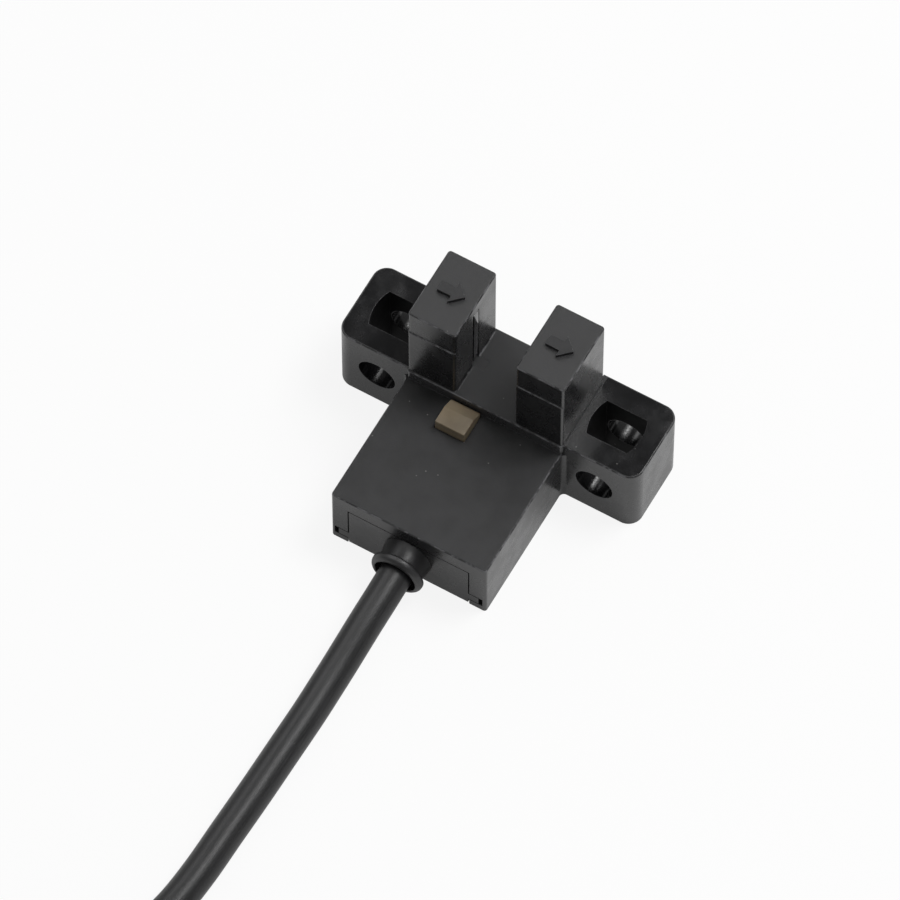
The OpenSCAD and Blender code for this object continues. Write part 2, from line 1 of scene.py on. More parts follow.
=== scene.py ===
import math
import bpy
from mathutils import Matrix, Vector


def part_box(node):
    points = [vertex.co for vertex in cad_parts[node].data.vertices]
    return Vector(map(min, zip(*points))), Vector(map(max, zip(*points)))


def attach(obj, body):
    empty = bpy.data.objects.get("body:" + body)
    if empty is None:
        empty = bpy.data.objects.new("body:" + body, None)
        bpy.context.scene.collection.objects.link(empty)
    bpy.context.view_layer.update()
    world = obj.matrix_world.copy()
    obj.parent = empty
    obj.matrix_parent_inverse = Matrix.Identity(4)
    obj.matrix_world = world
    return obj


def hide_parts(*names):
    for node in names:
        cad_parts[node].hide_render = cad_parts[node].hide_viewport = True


bl_info = {
    "name": "Slot optical sensor",
    "version": (1, 0, 0),
    "blender": (4, 5, 0),
    "location": "3D View > Sidebar > Sensor",
    "description": "Finishes, cable with its coil and small studio for the slot optical sensor",
    "category": "Object",
}

import bpy
import numpy as np
from mathutils import Vector

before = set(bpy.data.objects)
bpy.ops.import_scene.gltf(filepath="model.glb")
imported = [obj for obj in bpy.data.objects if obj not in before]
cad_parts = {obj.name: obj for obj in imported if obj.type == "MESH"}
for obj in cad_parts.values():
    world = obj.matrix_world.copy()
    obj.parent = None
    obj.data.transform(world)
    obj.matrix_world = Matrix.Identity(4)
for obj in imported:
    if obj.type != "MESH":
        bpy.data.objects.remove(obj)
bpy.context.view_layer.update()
MM = 0.001
BODY = "root"


def box_mm(node):
    """Lowest and highest corner of a CAD node, as arrays in millimetres."""
    low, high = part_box(node)
    return np.array(low) / MM, np.array(high) / MM


COIL_LOW, COIL_HIGH = box_mm("cable_coil")
TAIL_LOW, TAIL_HIGH = box_mm("cable_tail")
WINDOW_LOW, WINDOW_HIGH = box_mm("indicator_window")
BUSHING_LOW, BUSHING_HIGH = box_mm("cable_bushing")
TIE_LOW, TIE_HIGH = box_mm("coil_tie")
CABLE_R = (TAIL_HIGH[2] - TAIL_LOW[2]) / 2
COIL_OUT = (COIL_HIGH[0] - COIL_LOW[0]) / 2
COIL_X, COIL_Y = COIL_HIGH[0] - COIL_OUT, COIL_HIGH[1] - COIL_OUT

# Points of the cable's middle from the bushing's mouth to the coil, in millimetres
RUN = [
    (0, -12.85, 2.9), (0, -14.4, 2.9), (0, -16, 2.8), (-0.05, -18, 2.55),
    (-0.1, -20, 2.2), (-0.15, -22, 1.85), (-0.2, -24, 1.6), (-0.25, -26.5, 1.4),
    (-0.35, -30, 1.35), (-0.45, -34, 1.35), (-0.6, -38, 1.35), (-0.75, -42, 1.35),
    (-1.15, -45.5, 1.35), (-2.1, -49, 1.35), (-3.4, -52.5, 1.35), (-4.6, -56, 1.35),
    (-4.95, -60, 1.35), (-4.9, -63.5, 1.35), (-4.9, -66.2, 1.35),
]
# Steps of the smooth curve between two of them
RUN_STEPS = 8

# Sizes that the source of the part also names, in millimetres
BODY_HALF = 6.75
HOUSING_BODY_Y = -11.75
ARM_TOP = 16.3
EAR_H = 7.6
DECK_Z = 6.5
DECK_UNDER = 5.7
HOLE_X = 9.5
HOLE_Y = 3.45
HOLE_R = 1.6
LONG_HOLE_HALF_L = 2.13
CROSS_HOLE_Z = 3.9
BRIDGE_LIP = 0.2
BEAM_Y = 3.1
SLIT_W = 0.95
SLIT_TOP = 15.2
SLIT_DEPTH = 0.12
PANE_T = 0.25
NECK_R = 1.85
COLLAR_T = 0.65
MOUTH_R = 1.75
MOUTH_DEPTH = 1.0
FLANGE_T = 0.7
CORE_R = 0.35
FREE_CORE_L = 11.0
FREE_TIP_L = 5.0
LEAD_SPREAD = 1.2
LEAD_SINK = 0.9
TIE_T = 0.5
HEAD_L = 4.0
HEAD_H = 1.4

# Sizes of the dressed pieces alone, in millimetres
HAIR = 0.02  # keeps two faces apart that would lie in one place
PANE_GAP = 0.22  # beside and above the light panes
PANE_BEHIND = 0.02  # from the arms' walls back to the panes
NECK_FLARE = 0.17  # how much wider the bushing's neck is at the housing than at its collar
NECK_FILLET = 0.18
COLLAR_FRONT_R = 0.42
COLLAR_EDGE_R = 0.1
FLANGE_STEP = 0.15
GUIDE_FOOT_L = 0.35  # how far the light guide's foot reaches past its block
GUIDE_FOOT_H = 0.5
GUIDE_BACK = 0.1
GUIDE_SLOPE_L = 1.05
GUIDE_SLOPE_H = 0.6
STRAP_CORNER_R = 1.6
STRAP_NARROWER = 0.8

# Shine and roughness of the housing's own places. Those TAKEN or ADDED change what is there
PLAIN_SHINE = 0.5
ARM_SHINE = 0.64
LONG_HOLE_SHINE = 0.06
# Shine that the painted shade near the bridge takes away
PAINTED_SHADE_SHINE_TAKEN = 0.2
LONG_HOLE_ROUGHNESS = 0.5
CROSS_HOLE_ROUGHNESS = 0.12
ARROW_ROUGHNESS_TAKEN = 0.05
STAIN_ROUGHNESS_ADDED = 0.12

# Cores of the cable: node, material slot and colour
CORES = [
    ("lead_brown", "brown_insulation", (0.13, 0.05, 0.02)),
    ("lead_black", "black_insulation", (0.012, 0.012, 0.013)),
    ("lead_white", "white_insulation", (0.78, 0.77, 0.73)),
    ("lead_blue", "blue_insulation", (0.02, 0.09, 0.38)),
]

# The photograph's camera: focal length and width in its pixels, and place in millimetres
FOCAL_PX = 9871.6
PICTURE_PX = 900
CAMERA_PLACE = (171.18, -305.5, 668.71)
LENS_SENSOR_W = 36
# Share of its own white in the floor, as the camera sees it and as the sensor mirrors it.
# The rest shows the light that falls on it, with the sensor's shadow
FLOOR_SEEN = 0.88
FLOOR_MIRRORED = 0.3
FLOOR_REACH = 4000.0
# Soft box: place and side in metres
SOFT_BOX_PLACE = (0.18, 0.2, 0.54)
SOFT_BOX_SIDE = 0.25
# The room as the sensor mirrors it: levels of its parts, and ways towards the two round ones
WALL_LEVEL = 0.33
CEILING_LEVEL = 1.9
PATCH_WAY = (-0.228, 0.413, 0.882)
PATCH_SHARE = 0.06
LAMP_WAY = (0.298, 0.331, 0.895)
LAMP_LEVEL = 10.0


class SensorFinish(bpy.types.PropertyGroup):
    """Colours and gloss of the sensor's own surfaces"""

    housing_colour: bpy.props.FloatVectorProperty(
        name="Housing colour", description="Black of the moulded housing and its base cover",
        subtype="COLOR", size=3, default=(0.012, 0.012, 0.0126), min=0, max=1)
    deck_roughness: bpy.props.FloatProperty(
        name="Deck roughness",
        description="Roughness of the textured deck between the arms and the cable",
        subtype="FACTOR", default=0.43, min=0, max=1)
    arm_roughness: bpy.props.FloatProperty(
        name="Arm roughness",
        description="Roughness of the textured tops of the arms and of the slot's floor",
        subtype="FACTOR", default=0.5, min=0, max=1)
    ear_roughness: bpy.props.FloatProperty(
        name="Ear roughness", description="Roughness of the smooth tops of the ears",
        subtype="FACTOR", default=0.13, min=0, max=1)
    wall_roughness: bpy.props.FloatProperty(
        name="Wall roughness", description="Roughness of the upright walls",
        subtype="FACTOR", default=0.27, min=0, max=1)
    window_colour: bpy.props.FloatVectorProperty(
        name="Window colour", description="Milky brown of the indicator's light guide",
        subtype="COLOR", size=3, default=(0.175, 0.141, 0.095), min=0, max=1)
    cable_colour: bpy.props.FloatVectorProperty(
        name="Cable colour", description="Black of the cable's jacket",
        subtype="COLOR", size=3, default=(0.014, 0.014, 0.0145), min=0, max=1)


class SensorCable(bpy.types.PropertyGroup):
    """How the cable is wound"""

    shift_angle: bpy.props.FloatProperty(
        name="Shift angle",
        description="Angle over which a turn moves over to the next turn's place",
        unit="ROTATION", default=math.radians(35), min=math.radians(33), max=math.radians(45))
    lift: bpy.props.FloatProperty(
        name="Lift at the tie",
        description="How far the turns rise where the tie passes below them",
        unit="LENGTH", default=0.5 * MM, min=0, max=2 * MM)
    sides: bpy.props.IntProperty(
        name="Sides of the cable", description="Faces round the cable's jacket",
        default=28, min=12, max=48)


class SensorStage(bpy.types.PropertyGroup):
    """The small studio round the sensor"""

    azimuth: bpy.props.FloatProperty(
        name="Camera azimuth", description="Direction of the camera round the sensor",
        unit="ROTATION", default=math.radians(29.7))
    elevation: bpy.props.FloatProperty(
        name="Camera elevation", description="Height of the camera above the horizon",
        unit="ROTATION", default=math.radians(62.34))
    soft_box: bpy.props.FloatProperty(
        name="Soft box power", description="Power of the large lamp above the sensor",
        unit="POWER", default=2.4, min=0)
    room: bpy.props.FloatProperty(
        name="Room light", description="Strength of the even light from all round",
        default=0.35, min=0, max=2)


# Mesh helpers


def new_piece(name, points, faces, sharp_angle=math.radians(38)):
    """Mesh object from points in millimetres. Edges sharper than sharp_angle stay sharp."""
    mesh = bpy.data.meshes.new(name)
    mesh.from_pydata((np.asarray(points, float) * MM).tolist(), [], faces)
    mesh.polygons.foreach_set("use_smooth", np.ones(len(mesh.polygons), bool))
    mesh.set_sharp_from_angle(angle=sharp_angle)
    mesh.update()
    piece = bpy.data.objects.new(name, mesh)
    bpy.context.scene.collection.objects.link(piece)
    return piece


def seat(piece, material, slot, *nodes):
    """Gives a new piece its material and body, and lets it stand for its CAD nodes. Its slot is not
    used.
    """
    piece.data.materials.append(material)
    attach(piece, BODY)
    if nodes:
        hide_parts(*nodes)


def grid_faces(rows, columns, close_rows=False):
    """Quads between the points of a grid stored row by row. The columns run round and close."""
    i = np.arange(rows if close_rows else rows - 1)[:, None]
    j = np.arange(columns)[None, :]
    i2, j2 = (i + 1) % rows, (j + 1) % columns
    corners = [i * columns + j, i * columns + j2, i2 * columns + j2, i2 * columns + j]
    return np.stack(np.broadcast_arrays(*corners), -1).reshape(-1, 4).tolist()


def end_faces(rows, columns):
    """The two end faces of an open grid, facing outwards."""
    first = list(range(columns))
    return [first[::-1], [(rows - 1) * columns + k for k in first]]


def joined(*shells):
    """Several (points, faces) shells as one list of points and one of faces."""
    starts = np.cumsum([0] + [len(points) for points, faces in shells])
    faces = [[start + k for k in face]
             for start, shell in zip(starts, shells) for face in shell[1]]
    return np.concatenate([points for points, faces in shells]), faces


def tube(path, radius, sides):
    """Round tube: point(s, a) = path(s) + radius * (cos a * side(s) + sin a * normal(s)).
    side = tangent x up and normal = side x tangent, so the path may not stand upright."""
    tangent = np.gradient(path, axis=0)
    side = np.cross(tangent, [0.0, 0.0, 1.0])
    side /= np.linalg.norm(side, axis=1, keepdims=True)
    normal = np.cross(side, tangent)
    normal /= np.linalg.norm(normal, axis=1, keepdims=True)
    angle = np.linspace(0, 2 * np.pi, sides, endpoint=False)[None, :, None]
    ring = np.cos(angle) * side[:, None, :] + np.sin(angle) * normal[:, None, :]
    points = (path[:, None, :] + radius * ring).reshape(-1, 3)
    return points, grid_faces(len(path), sides) + end_faces(len(path), sides)


def rounded_outline(corners, radius, steps=6):
    """Convex outline with round corners, running anticlockwise. Each corner gives an arc:
    point(t) = arc centre + radius * (cos t, sin t), from one side's normal to the next.
    Returns the arc centres and the unit directions, so that an inset only changes the radius."""
    corners = np.asarray(corners, float)
    ahead = np.roll(corners, -1, 0) - corners
    ahead /= np.linalg.norm(ahead, axis=1, keepdims=True)
    normal_after = np.stack([ahead[:, 1], -ahead[:, 0]], 1)
    normal_before = np.roll(normal_after, 1, 0)
    half = normal_before + normal_after
    centre = corners - radius * half * 2 / np.sum(half * half, 1, keepdims=True)
    start = np.arctan2(normal_before[:, 1], normal_before[:, 0])
    turn = np.mod(np.arctan2(normal_after[:, 1], normal_after[:, 0]) - start, 2 * np.pi)
    angle = start[:, None] + turn[:, None] * np.linspace(0, 1, steps)[None, :]
    direction = np.stack([np.cos(angle), np.sin(angle)], -1).reshape(-1, 2)
    return np.repeat(centre, steps, 0), direction


def rounded_prism(corners, radius, low, high, edge, steps=5):
    """Prism over a rounded outline whose two ends are rounded too.
    ring(q) = arc centre + (radius - edge * (1 - sin q)) * direction, at a height of
    edge * (1 - cos q) above the low end, and the same mirrored below the high end."""
    centre, direction = rounded_outline(corners, radius)
    q = np.linspace(0, np.pi / 2, steps)
    inset = edge * (1 - np.sin(q))
    rise = edge * (1 - np.cos(q))
    reach = radius - np.concatenate([inset, inset[::-1]])
    height = np.concatenate([low + rise, high - rise[::-1]])
    flat = centre[None] + reach[:, None, None] * direction[None]
    level = np.broadcast_to(height[:, None, None], flat.shape[:2] + (1,))
    points = np.concatenate([flat, level], -1).reshape(-1, 3)
    rows, columns = len(height), len(direction)
    return points, grid_faces(rows, columns) + end_faces(rows, columns)


def box_corners(low, high):
    """The four corners of a rectangle, anticlockwise."""
    return [(low[0], low[1]), (high[0], low[1]), (high[0], high[1]), (low[0], high[1])]


# Node helpers


class Nodes:
    """Adds nodes to a tree. An input takes a value or the socket that feeds it."""

    def __init__(self, tree):
        self.tree = tree

    def __call__(self, kind, inputs=None, **settings):
        """New node of a kind, with its inputs by name or number and its other settings."""
        node = self.tree.nodes.new(kind)
        for name, value in settings.items():
            setattr(node, name, value)
        for name, value in (inputs or {}).items():
            self.feed(node.inputs[name], value)
        return node

    def feed(self, socket, value):
        """Links a socket to an input, or sets the input's value."""
        if isinstance(value, bpy.types.NodeSocket):
            self.tree.links.new(value, socket)
        else:
            socket.default_value = value

    def math(self, operation, a, b=0.0, clamp=False):
        return self("ShaderNodeMath", {0: a, 1: b}, operation=operation, use_clamp=clamp).outputs[0]

    def times(self, first, *others):
        """Product of masks or numbers."""
        for other in others:
            first = self.math("MULTIPLY", first, other)
        return first

    def above(self, value, limit):
        return self.math("GREATER_THAN", value, limit)

    def below(self, value, limit):
        return self.math("LESS_THAN", value, limit)

    def distance(self, value, middle):
        """How far a number is from a middle one."""
        return self.math("ABSOLUTE", self.math("SUBTRACT", value, middle))

    def fade(self, value, low, high, to_low=0.0, to_high=1.0):
        """Maps low to to_low and high to to_high, and stays between them."""
        ends = {0: value, 1: low, 2: high, 3: to_low, 4: to_high}
        return self("ShaderNodeMapRange", ends, interpolation_type="SMOOTHSTEP").outputs[0]

    def between(self, share, a, b):
        """Number between a and b."""
        return self("ShaderNodeMix", {0: share, 2: a, 3: b}, data_type="FLOAT").outputs[0]

    def blend(self, share, a, b):
        """Colour between a and b."""
        node = self("ShaderNodeMix", data_type="RGBA")
        for name, value in (("Factor_Float", share), ("A_Color", a), ("B_Color", b)):
            self.feed(next(s for s in node.inputs if s.identifier == name), value)
        return next(s for s in node.outputs if s.identifier == "Result_Color")

    def stretch(self, vector, factors):
        """Vector whose three numbers are multiplied by three factors."""
        inputs = {0: vector, 1: factors}
        return self("ShaderNodeVectorMath", inputs, operation="MULTIPLY").outputs[0]

    def alike(self, a, b):
        """Cosine of the angle between two unit vectors."""
        node = self("ShaderNodeVectorMath", {0: a, 1: b}, operation="DOT_PRODUCT")
        return node.outputs["Value"]

    def parts(self, vector):
        """The x, y and z of a vector."""
        return self("ShaderNodeSeparateXYZ", {0: vector}).outputs

    def noise(self, vector, scale, detail, roughness=0.5):
        """Cloudy noise from 0 to 1."""
        inputs = {"Vector": vector, "Scale": scale, "Detail": detail, "Roughness": roughness}
        return self("ShaderNodeTexNoise", inputs).outputs["Fac"]

    def effect(self, name, **inputs):
        """Places one of the shared effects. Its inputs are named with _ for a space."""
        node = self("ShaderNodeGroup", node_tree=bpy.data.node_groups[name])
        for key, value in inputs.items():
            self.feed(node.inputs[key.replace("_", " ")], value)
        return node.outputs


def shared_effect(name, inputs, outputs):
    """Empty shader node group with named sockets.
    Returns its maker, its input sockets and its output node's sockets."""
    tree = bpy.data.node_groups.new(name, "ShaderNodeTree")
    for socket, kind, value in inputs:
        made = tree.interface.new_socket(name=socket, in_out="INPUT", socket_type=kind)
        if value is not None:
            made.default_value = value
    for socket, kind in outputs:
        tree.interface.new_socket(name=socket, in_out="OUTPUT", socket_type=kind)
    make = Nodes(tree)
    return make, make("NodeGroupInput").outputs, make("NodeGroupOutput").inputs


def moulded_grain():
    """Fine grain of a moulded surface, with the slow waves of its mould, in millimetres."""
    make, given, out = shared_effect(
        "moulded_grain",
        [("Vector", "NodeSocketVector", None), ("Grain size", "NodeSocketFloat", 0.12),
         ("Wave share", "NodeSocketFloat", 0.35)],
        [("Height", "NodeSocketFloat"), ("Tone", "NodeSocketFloat")])
    scale = make.math("DIVIDE", 1.0, given["Grain size"])
    grain = make.noise(given["Vector"], scale, 3.0, 0.6)
    waves = make.noise(given["Vector"], 0.55, 4.0, 0.55)
    height = make.math("ADD", grain, make.times(waves, given["Wave share"]))
    make.feed(out["Height"], height)
    make.feed(out["Tone"], waves)


def rubbed_and_highlit_edges():
    """Mask of a narrow pale line along an edge, for rubbed wear and for painted highlights: 1 -
    (rounded normal . true normal).
    """
    make, given, out = shared_effect(
        "rubbed_and_highlit_edges",
        [("Width", "NodeSocketFloat", 0.06 * MM), ("Strength", "NodeSocketFloat", 1.0)],
        [("Mask", "NodeSocketFloat"), ("Normal", "NodeSocketVector")])
    soft = make("ShaderNodeBevel", {"Radius": given["Width"]}, samples=6).outputs["Normal"]
    face = make("ShaderNodeNewGeometry").outputs["Normal"]
    turned = make.math("SUBTRACT", 1.0, make.alike(soft, face), clamp=True)
    make.feed(out["Mask"], make.math("MULTIPLY", turned, given["Strength"], clamp=True))
    make.feed(out["Normal"], soft)


def stray_dust():
    """Small scattered specks: the middle of some cells of a cell pattern, in millimetres."""
    make, given, out = shared_effect(
        "stray_dust",
        [("Vector", "NodeSocketVector", None), ("Spacing", "NodeSocketFloat", 0.9),
         ("Size", "NodeSocketFloat", 0.09)],
        [("Mask", "NodeSocketFloat")])
    scale = make.math("DIVIDE", 1.0, given["Spacing"])
    cells = make("ShaderNodeTexVoronoi", {"Vector": given["Vector"], "Scale": scale}).outputs
    chosen = make("ShaderNodeTexWhiteNoise", {"Vector": cells["Position"]}).outputs["Value"]
    limit = make.math("DIVIDE", make.times(chosen, given["Size"]), given["Spacing"])
    near = make.below(cells["Distance"], limit)
    make.feed(out["Mask"], make.times(near, make.above(chosen, 0.55)))


def build_effects():
    """The three effects that several finishes share, built once."""
    for make_effect in (moulded_grain, rubbed_and_highlit_edges, stray_dust):
        if make_effect.__name__ not in bpy.data.node_groups:
            make_effect()


def new_finish(name, **shader):
    """Material with a Principled shader whose constants are set on its own sockets.
    Returns the material, its node maker, the shader's inputs and the place in millimetres."""
    build_effects()
    material = bpy.data.materials.get(name) or bpy.data.materials.new(name)
    material.use_nodes = True
    material.node_tree.nodes.clear()
    make = Nodes(material.node_tree)
    surface = make("ShaderNodeBsdfPrincipled", shader)
    make("ShaderNodeOutputMaterial", {"Surface": surface.outputs[0]})
    place = make.stretch(make("ShaderNodeTexCoord").outputs["Object"], (1 / MM,) * 3)
    return material, make, surface.inputs, place


def bump(make, surface, height, strength, depth, normal=None):
    """Feeds a height into the shader's normal. The depth is in millimetres."""
    inputs = {"Height": height, "Strength": strength, "Distance": depth * MM}
    if normal is not None:
        inputs["Normal"] = normal
    make.feed(surface["Normal"], make("ShaderNodeBump", inputs).outputs[0])


def rgba(colour, factor=1.0):
    """Colour with four values, made lighter or darker by a factor."""
    return tuple(c * factor for c in colour[:3]) + (1.0,)


def toned(make, colour, tone, low, high):
    """Colour that runs from low to high times the given one, following a tone from 0 to 1."""
    return make.blend(tone, rgba(colour, low), rgba(colour, high))


# Finishes


def hole_walls(make, x, y, z):
    """Two masks: the walls of the long upright holes, and those of the cross holes."""
    off_x = make.distance(make.math("ABSOLUTE", x), HOLE_X)
    off_y = make.distance(y, HOLE_Y)
    off_z = make.math("SUBTRACT", z, CROSS_HOLE_Z)
    inside = make.times(make.below(off_x, LONG_HOLE_HALF_L), make.below(off_y, HOLE_R + HAIR),
                        make.below(z, EAR_H - 0.03))
    squares = make.math("ADD", make.times(off_x, off_x), make.times(off_z, off_z))
    limit = (HOLE_R + HAIR) ** 2
    return make.times(inside, make.above(squares, limit)), make.below(squares, limit)


def bridge_front(make, x, y, z):
    """1 on the low wall between the deck and the bridge, which painted light makes pale, 0
    elsewhere.
    """
    high = make.times(make.above(z, DECK_Z + 0.03), make.below(z, EAR_H + 0.02))
    near = make.below(make.distance(y, -BRIDGE_LIP), 0.03)
    middle = make.below(make.math("ABSOLUTE", x), BODY_HALF + 0.1)
    return make.times(high, near, middle)


def bridge_grime(make, x, y, spots, deck):
    """Painted shade: cloudy mask on the deck that grows towards the bridge and leaves out the right
    corner.
    """
    near_bridge = make.fade(y, -4.6, -0.7)
    left_out = make.fade(x, 2.4, 4.6, 1.0, 0.15)
    return make.times(near_bridge, deck, make.fade(spots, 0.3, 0.6, 0.6, 1.0), left_out)


def worn_edges(make, place, edge, up, cross_hole):
    """Mask of the pale edges: narrow sharp ones, partly rubbed wear and partly painted highlight,
    and a painted highlight at half strength on roundings that face partly up, none in the cross
    holes. A noise breaks them into stretches."""
    breaks = make.noise(place, 1.4, 2.0)
    rounded = make.times(make.fade(up, 0.1, 0.4), make.fade(up, 0.8, 0.96, 1.0, 0.0),
                         make.math("SUBTRACT", 0.5, make.times(cross_hole, 0.5)))
    return make.times(make.math("MAXIMUM", edge, rounded), make.fade(breaks, 0.42, 0.6, 0.12, 1.0))


def housing_finish():
    """Black glass filled plastic: textured deck and arm tops, smooth stained ears, upright walls,
    and edges that are rubbed light or carry painted highlights in places. Painted shade darkens
    the long holes and the deck near the bridge, and painted light makes the bridge's front wall
    pale."""
    finish = bpy.context.scene.sensor_finish
    black = finish.housing_colour
    material, make, surface, place = new_finish("housing_plastic", IOR=1.5)
    grain = make.effect("moulded_grain", Vector=place, Grain_size=0.16)
    edge = make.effect("rubbed_and_highlit_edges", Width=0.06 * MM, Strength=1.6)
    dust = make.effect("stray_dust", Vector=place, Spacing=1.0, Size=0.075)
    x, y, z = make.parts(place)
    up = make.parts(make("ShaderNodeNewGeometry").outputs["Normal"])[2]
    tone = make.fade(grain["Tone"], 0.3, 0.7)
    spots = make.noise(place, 0.45, 3.0)

    level = make.fade(up, 0.8, 0.98)
    middle = make.fade(make.math("ABSOLUTE", x), BODY_HALF, BODY_HALF + 0.15, 1.0, 0.0)
    low_middle = make.times(make.below(z, DECK_Z + 0.2), middle)
    on_arm = make.times(make.above(z, ARM_TOP - 0.1), level)
    on_arrow = make.above(z, ARM_TOP + 0.2)
    long_hole, cross_hole = hole_walls(make, x, y, z)
    # Painted shade on the deck near the bridge: darker colour and less shine
    painted_shade = bridge_grime(make, x, y, spots, make.times(low_middle, level))

    colour = toned(make, black, tone, 0.8, 1.25)
    for mask, layer in (
            # Painted shade: the walls of the long holes are darkened
            (long_hole, rgba(black, 0.5)),
            # Painted light: the shaded wall under the bridge is made pale
            (bridge_front(make, x, y, z), rgba(black, 3.2)),
            # Painted shade near the bridge
            (painted_shade, rgba(black, 0.6)),
            # Painted highlights along edges, with some rubbed wear
            (worn_edges(make, place, edge["Mask"], up, cross_hole), rgba(black, 18)),
            (dust["Mask"], (0.09, 0.088, 0.085, 1))):
        colour = make.blend(mask, colour, layer)
    make.feed(surface["Base Color"], colour)

    stain = make.times(make.fade(spots, 0.47, 0.68), STAIN_ROUGHNESS_ADDED)
    ear_rough = make.math("ADD", stain, finish.ear_roughness)
    middle_rough = make.fade(low_middle, 0, 1, finish.arm_roughness, finish.deck_roughness)
    rough = make.fade(middle, 0, 1, ear_rough, middle_rough)
    rough = make.math("SUBTRACT", rough, make.times(on_arrow, ARROW_ROUGHNESS_TAKEN))
    rough = make.fade(level, 0, 1, finish.wall_roughness, rough)
    rough = make.fade(long_hole, 0, 1, rough, LONG_HOLE_ROUGHNESS)
    rough = make.fade(cross_hole, 0, 1, rough, CROSS_HOLE_ROUGHNESS)
    uneven = make.fade(tone, 0, 1, -0.03, 0.04)
    make.feed(surface["Roughness"], make.math("ADD", rough, uneven))

    shine = make.fade(make.math("SUBTRACT", on_arm, on_arrow), 0, 1, PLAIN_SHINE, ARM_SHINE)
    shine = make.math("SUBTRACT", shine, make.times(painted_shade, PAINTED_SHADE_SHINE_TAKEN))
    # Painted shade also takes shine from the long holes' walls
    shine = make.fade(long_hole, 0, 1, shine, LONG_HOLE_SHINE)
    make.feed(surface["Specular IOR Level"], shine)
    strength = make.fade(level, 0, 1, 0.02, 0.25)
    bump(make, surface, grain["Height"], strength, 0.03, edge["Normal"])
    return material


def plain_plastic(name, colour, roughness, grain_size=0.2, ior=1.5, **shader):
    """Plastic, rubber or resin of one colour with grain, slow tone changes and lighter edges."""
    material, make, surface, place = new_finish(name, IOR=ior, **shader)
    grain = make.effect("moulded_grain", Vector=place, Grain_size=grain_size)
    edge = make.effect("rubbed_and_highlit_edges", Width=0.05 * MM, Strength=0.5)
    tone = make.fade(grain["Tone"], 0.3, 0.7)
    mixed = toned(make, colour, tone, 0.85, 1.2)
    make.feed(surface["Base Color"], make.blend(edge["Mask"], mixed, rgba(colour, 2.5)))
    make.feed(surface["Roughness"], make.fade(tone, 0, 1, roughness - 0.04, roughness + 0.05))
    bump(make, surface, grain["Height"], 0.25, 0.02)
    return material


def bare_metal(name, colour, roughness):
    """Tinned, soldered or plated metal with fine uneven grain."""
    material, make, surface, place = new_finish(name, Metallic=1.0)
    grain = make.effect("moulded_grain", Vector=place, Grain_size=0.1, Wave_share=0.8)
    tone = make.fade(grain["Tone"], 0.3, 0.7)
    make.feed(surface["Base Color"], toned(make, colour, tone, 0.75, 1.1))
    make.feed(surface["Roughness"], make.fade(tone, 0, 1, roughness, roughness + 0.15))
    bump(make, surface, grain["Height"], 0.3, 0.02)
    return material


def cable_finish():
    """Soft black jacket: satin, with faint streaks along the cable and a little dust.
    The UV map gives the way round the cable and along it."""
    finish = bpy.context.scene.sensor_finish
    material, make, surface, place = new_finish("cable_jacket", IOR=1.48)
    run = make("ShaderNodeUVMap", uv_map="along").outputs[0]
    streaks = make.noise(make.stretch(run, (60.0, 0.35, 1.0)), 1.0, 2.0)
    grain = make.effect("moulded_grain", Vector=place, Grain_size=0.12, Wave_share=0.3)
    dust = make.effect("stray_dust", Vector=place, Spacing=1.3, Size=0.06)
    tone = make.fade(streaks, 0.35, 0.65)
    colour = toned(make, finish.cable_colour, tone, 0.75, 1.35)
    dusted = make.blend(dust["Mask"], colour, (0.08, 0.08, 0.078, 1))
    make.feed(surface["Base Color"], dusted)
    make.feed(surface["Roughness"], make.fade(tone, 0, 1, 0.36, 0.42))
    height = make.math("ADD", make.times(streaks, 0.8), make.times(grain["Height"], 0.4))
    bump(make, surface, height, 0.3, 0.03)
    return material


def window_finish():
    """Milky brown light guide: painted highlights along its edges, painted light that makes its
    lower part paler, and slow tone changes on its top.
    """
    brown = bpy.context.scene.sensor_finish.window_colour
    material, make, surface, place = new_finish("light_guide", **{
        "IOR": 1.5, "Subsurface Weight": 0.25, "Subsurface Scale": 0.4 * MM,
        "Subsurface Radius": (1.0, 0.75, 0.5), "Coat Weight": 0.0})
    grain = make.effect("moulded_grain", Vector=place, Grain_size=0.25, Wave_share=0.6)
    edge = make.effect("rubbed_and_highlit_edges", Width=0.08 * MM, Strength=1.5)
    # Painted light: the guide's lower part, its shaded front face, is made paler than its top
    height = make.fade(make.parts(place)[2], DECK_Z, WINDOW_HIGH[2] - 0.1)
    tone = make.fade(grain["Tone"], 0.3, 0.7)
    colour = make.blend(height, rgba(brown, 1.3), toned(make, brown, tone, 0.85, 1.1))
    # Painted highlights along the edges
    make.feed(surface["Base Color"], make.blend(edge["Mask"], colour, rgba(brown, 1.8)))
    make.feed(surface["Roughness"], make.fade(tone, 0, 1, 0.3, 0.42))
    bump(make, surface, grain["Height"], 0.2, 0.03)
    return material


